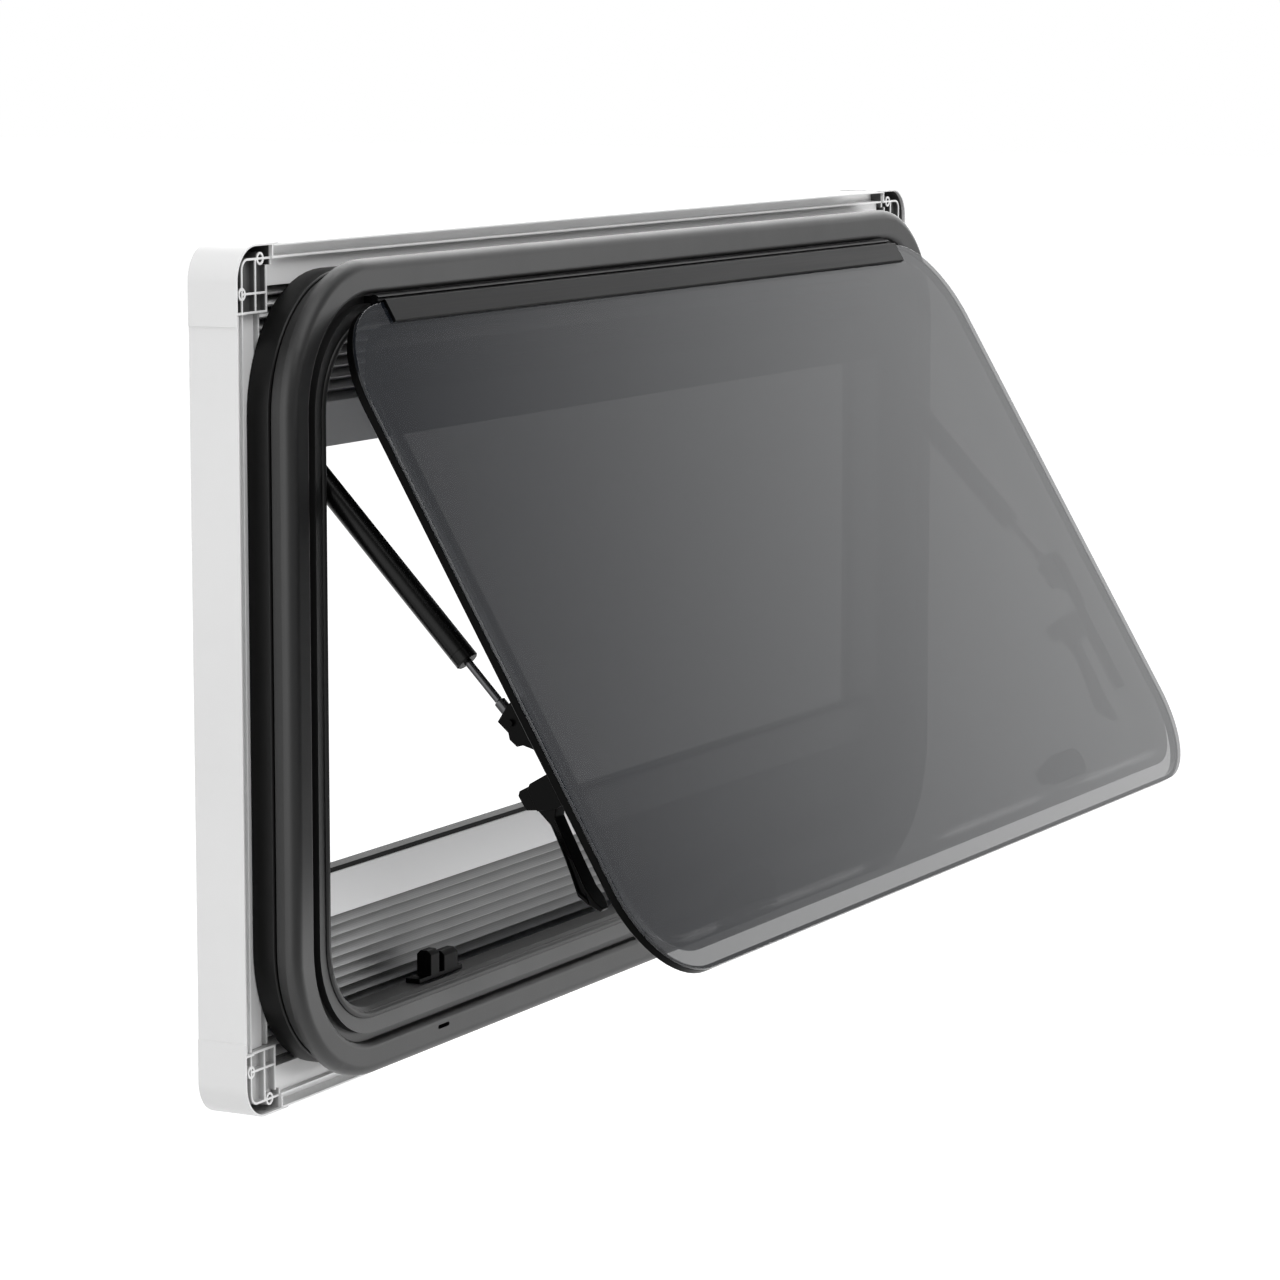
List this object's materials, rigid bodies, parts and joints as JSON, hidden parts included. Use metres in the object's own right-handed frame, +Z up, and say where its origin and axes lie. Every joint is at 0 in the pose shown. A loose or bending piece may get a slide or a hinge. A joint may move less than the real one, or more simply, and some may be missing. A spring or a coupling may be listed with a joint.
{
  "type": "top-hung caravan window with blind cassette",
  "caption": "Top-hung acrylic caravan window held open on two telescopic stays, with its clamp frame, latches and white pleated-blind cassette.",
  "frame": {"origin": "on the wall face of the outer flange, at the middle of the bottom edge of the wall cut-out", "axes": "+X to the right seen from outdoors, +Y from outdoors into the room, +Z up"},
  "size_m": [1.09, 0.3384, 0.6],
  "materials": {
    "frame_black": "satin moulded polyurethane, dark grey to black",
    "clamp_black": "matt black clamp ring",
    "rubber_black": "black seal rubber",
    "hinge_black": "black powder-coated aluminium hinge profile",
    "acrylic_tint": "grey-tinted acrylic",
    "acrylic_inner": "lightly tinted thermoformed acrylic",
    "edge_black": "glossy black sash edge",
    "stay_black": "black anodised tube",
    "stay_steel": "dark brushed steel rod",
    "latch_black": "black glass-filled nylon",
    "cap_white": "white moulded corner cap",
    "rail_white": "white coated aluminium profile",
    "screen_pleat": "dark grey pleated flyscreen",
    "blind_pleat": "grey pleated blackout fabric",
    "end_rail_grey": "light grey end rail"
  },
  "bodies": {
    "root": {"outer_frame": "frame_black", "clamp_frame": "clamp_black", "wall_seal": "rubber_black", "sash_seal": "rubber_black", "hinge_rail": "hinge_black", "hinge_strip": "hinge_black", "outer_pane": "acrylic_tint", "edge_trim": "edge_black", "inner_pane": "acrylic_inner", "flyscreen": "screen_pleat", "upper_end_rail": "end_rail_grey", "blind": "blind_pleat", "lower_end_rail": "end_rail_grey", "blind_strip": "rubber_black", "left_frame_bracket": "latch_black", "left_stay_tube": "stay_black", "left_stay_rod": "stay_steel", "left_sash_bracket": "latch_black", "left_latch_base": "latch_black", "left_latch_lever": "latch_black", "left_bottom_latch": "latch_black", "left_bottom_lever": "latch_black", "left_keeper": "latch_black", "left_rail": "rail_white", "right_frame_bracket": "latch_black", "right_stay_tube": "stay_black", "right_stay_rod": "stay_steel", "right_sash_bracket": "latch_black", "right_latch_base": "latch_black", "right_latch_lever": "latch_black", "right_bottom_latch": "latch_black", "right_bottom_lever": "latch_black", "right_keeper": "latch_black", "right_rail": "rail_white", "top_left_corner": "cap_white", "top_right_corner": "cap_white", "bottom_left_corner": "cap_white", "bottom_right_corner": "cap_white", "top_rail": "rail_white", "bottom_rail": "rail_white"}
  },
  "joints": []
}
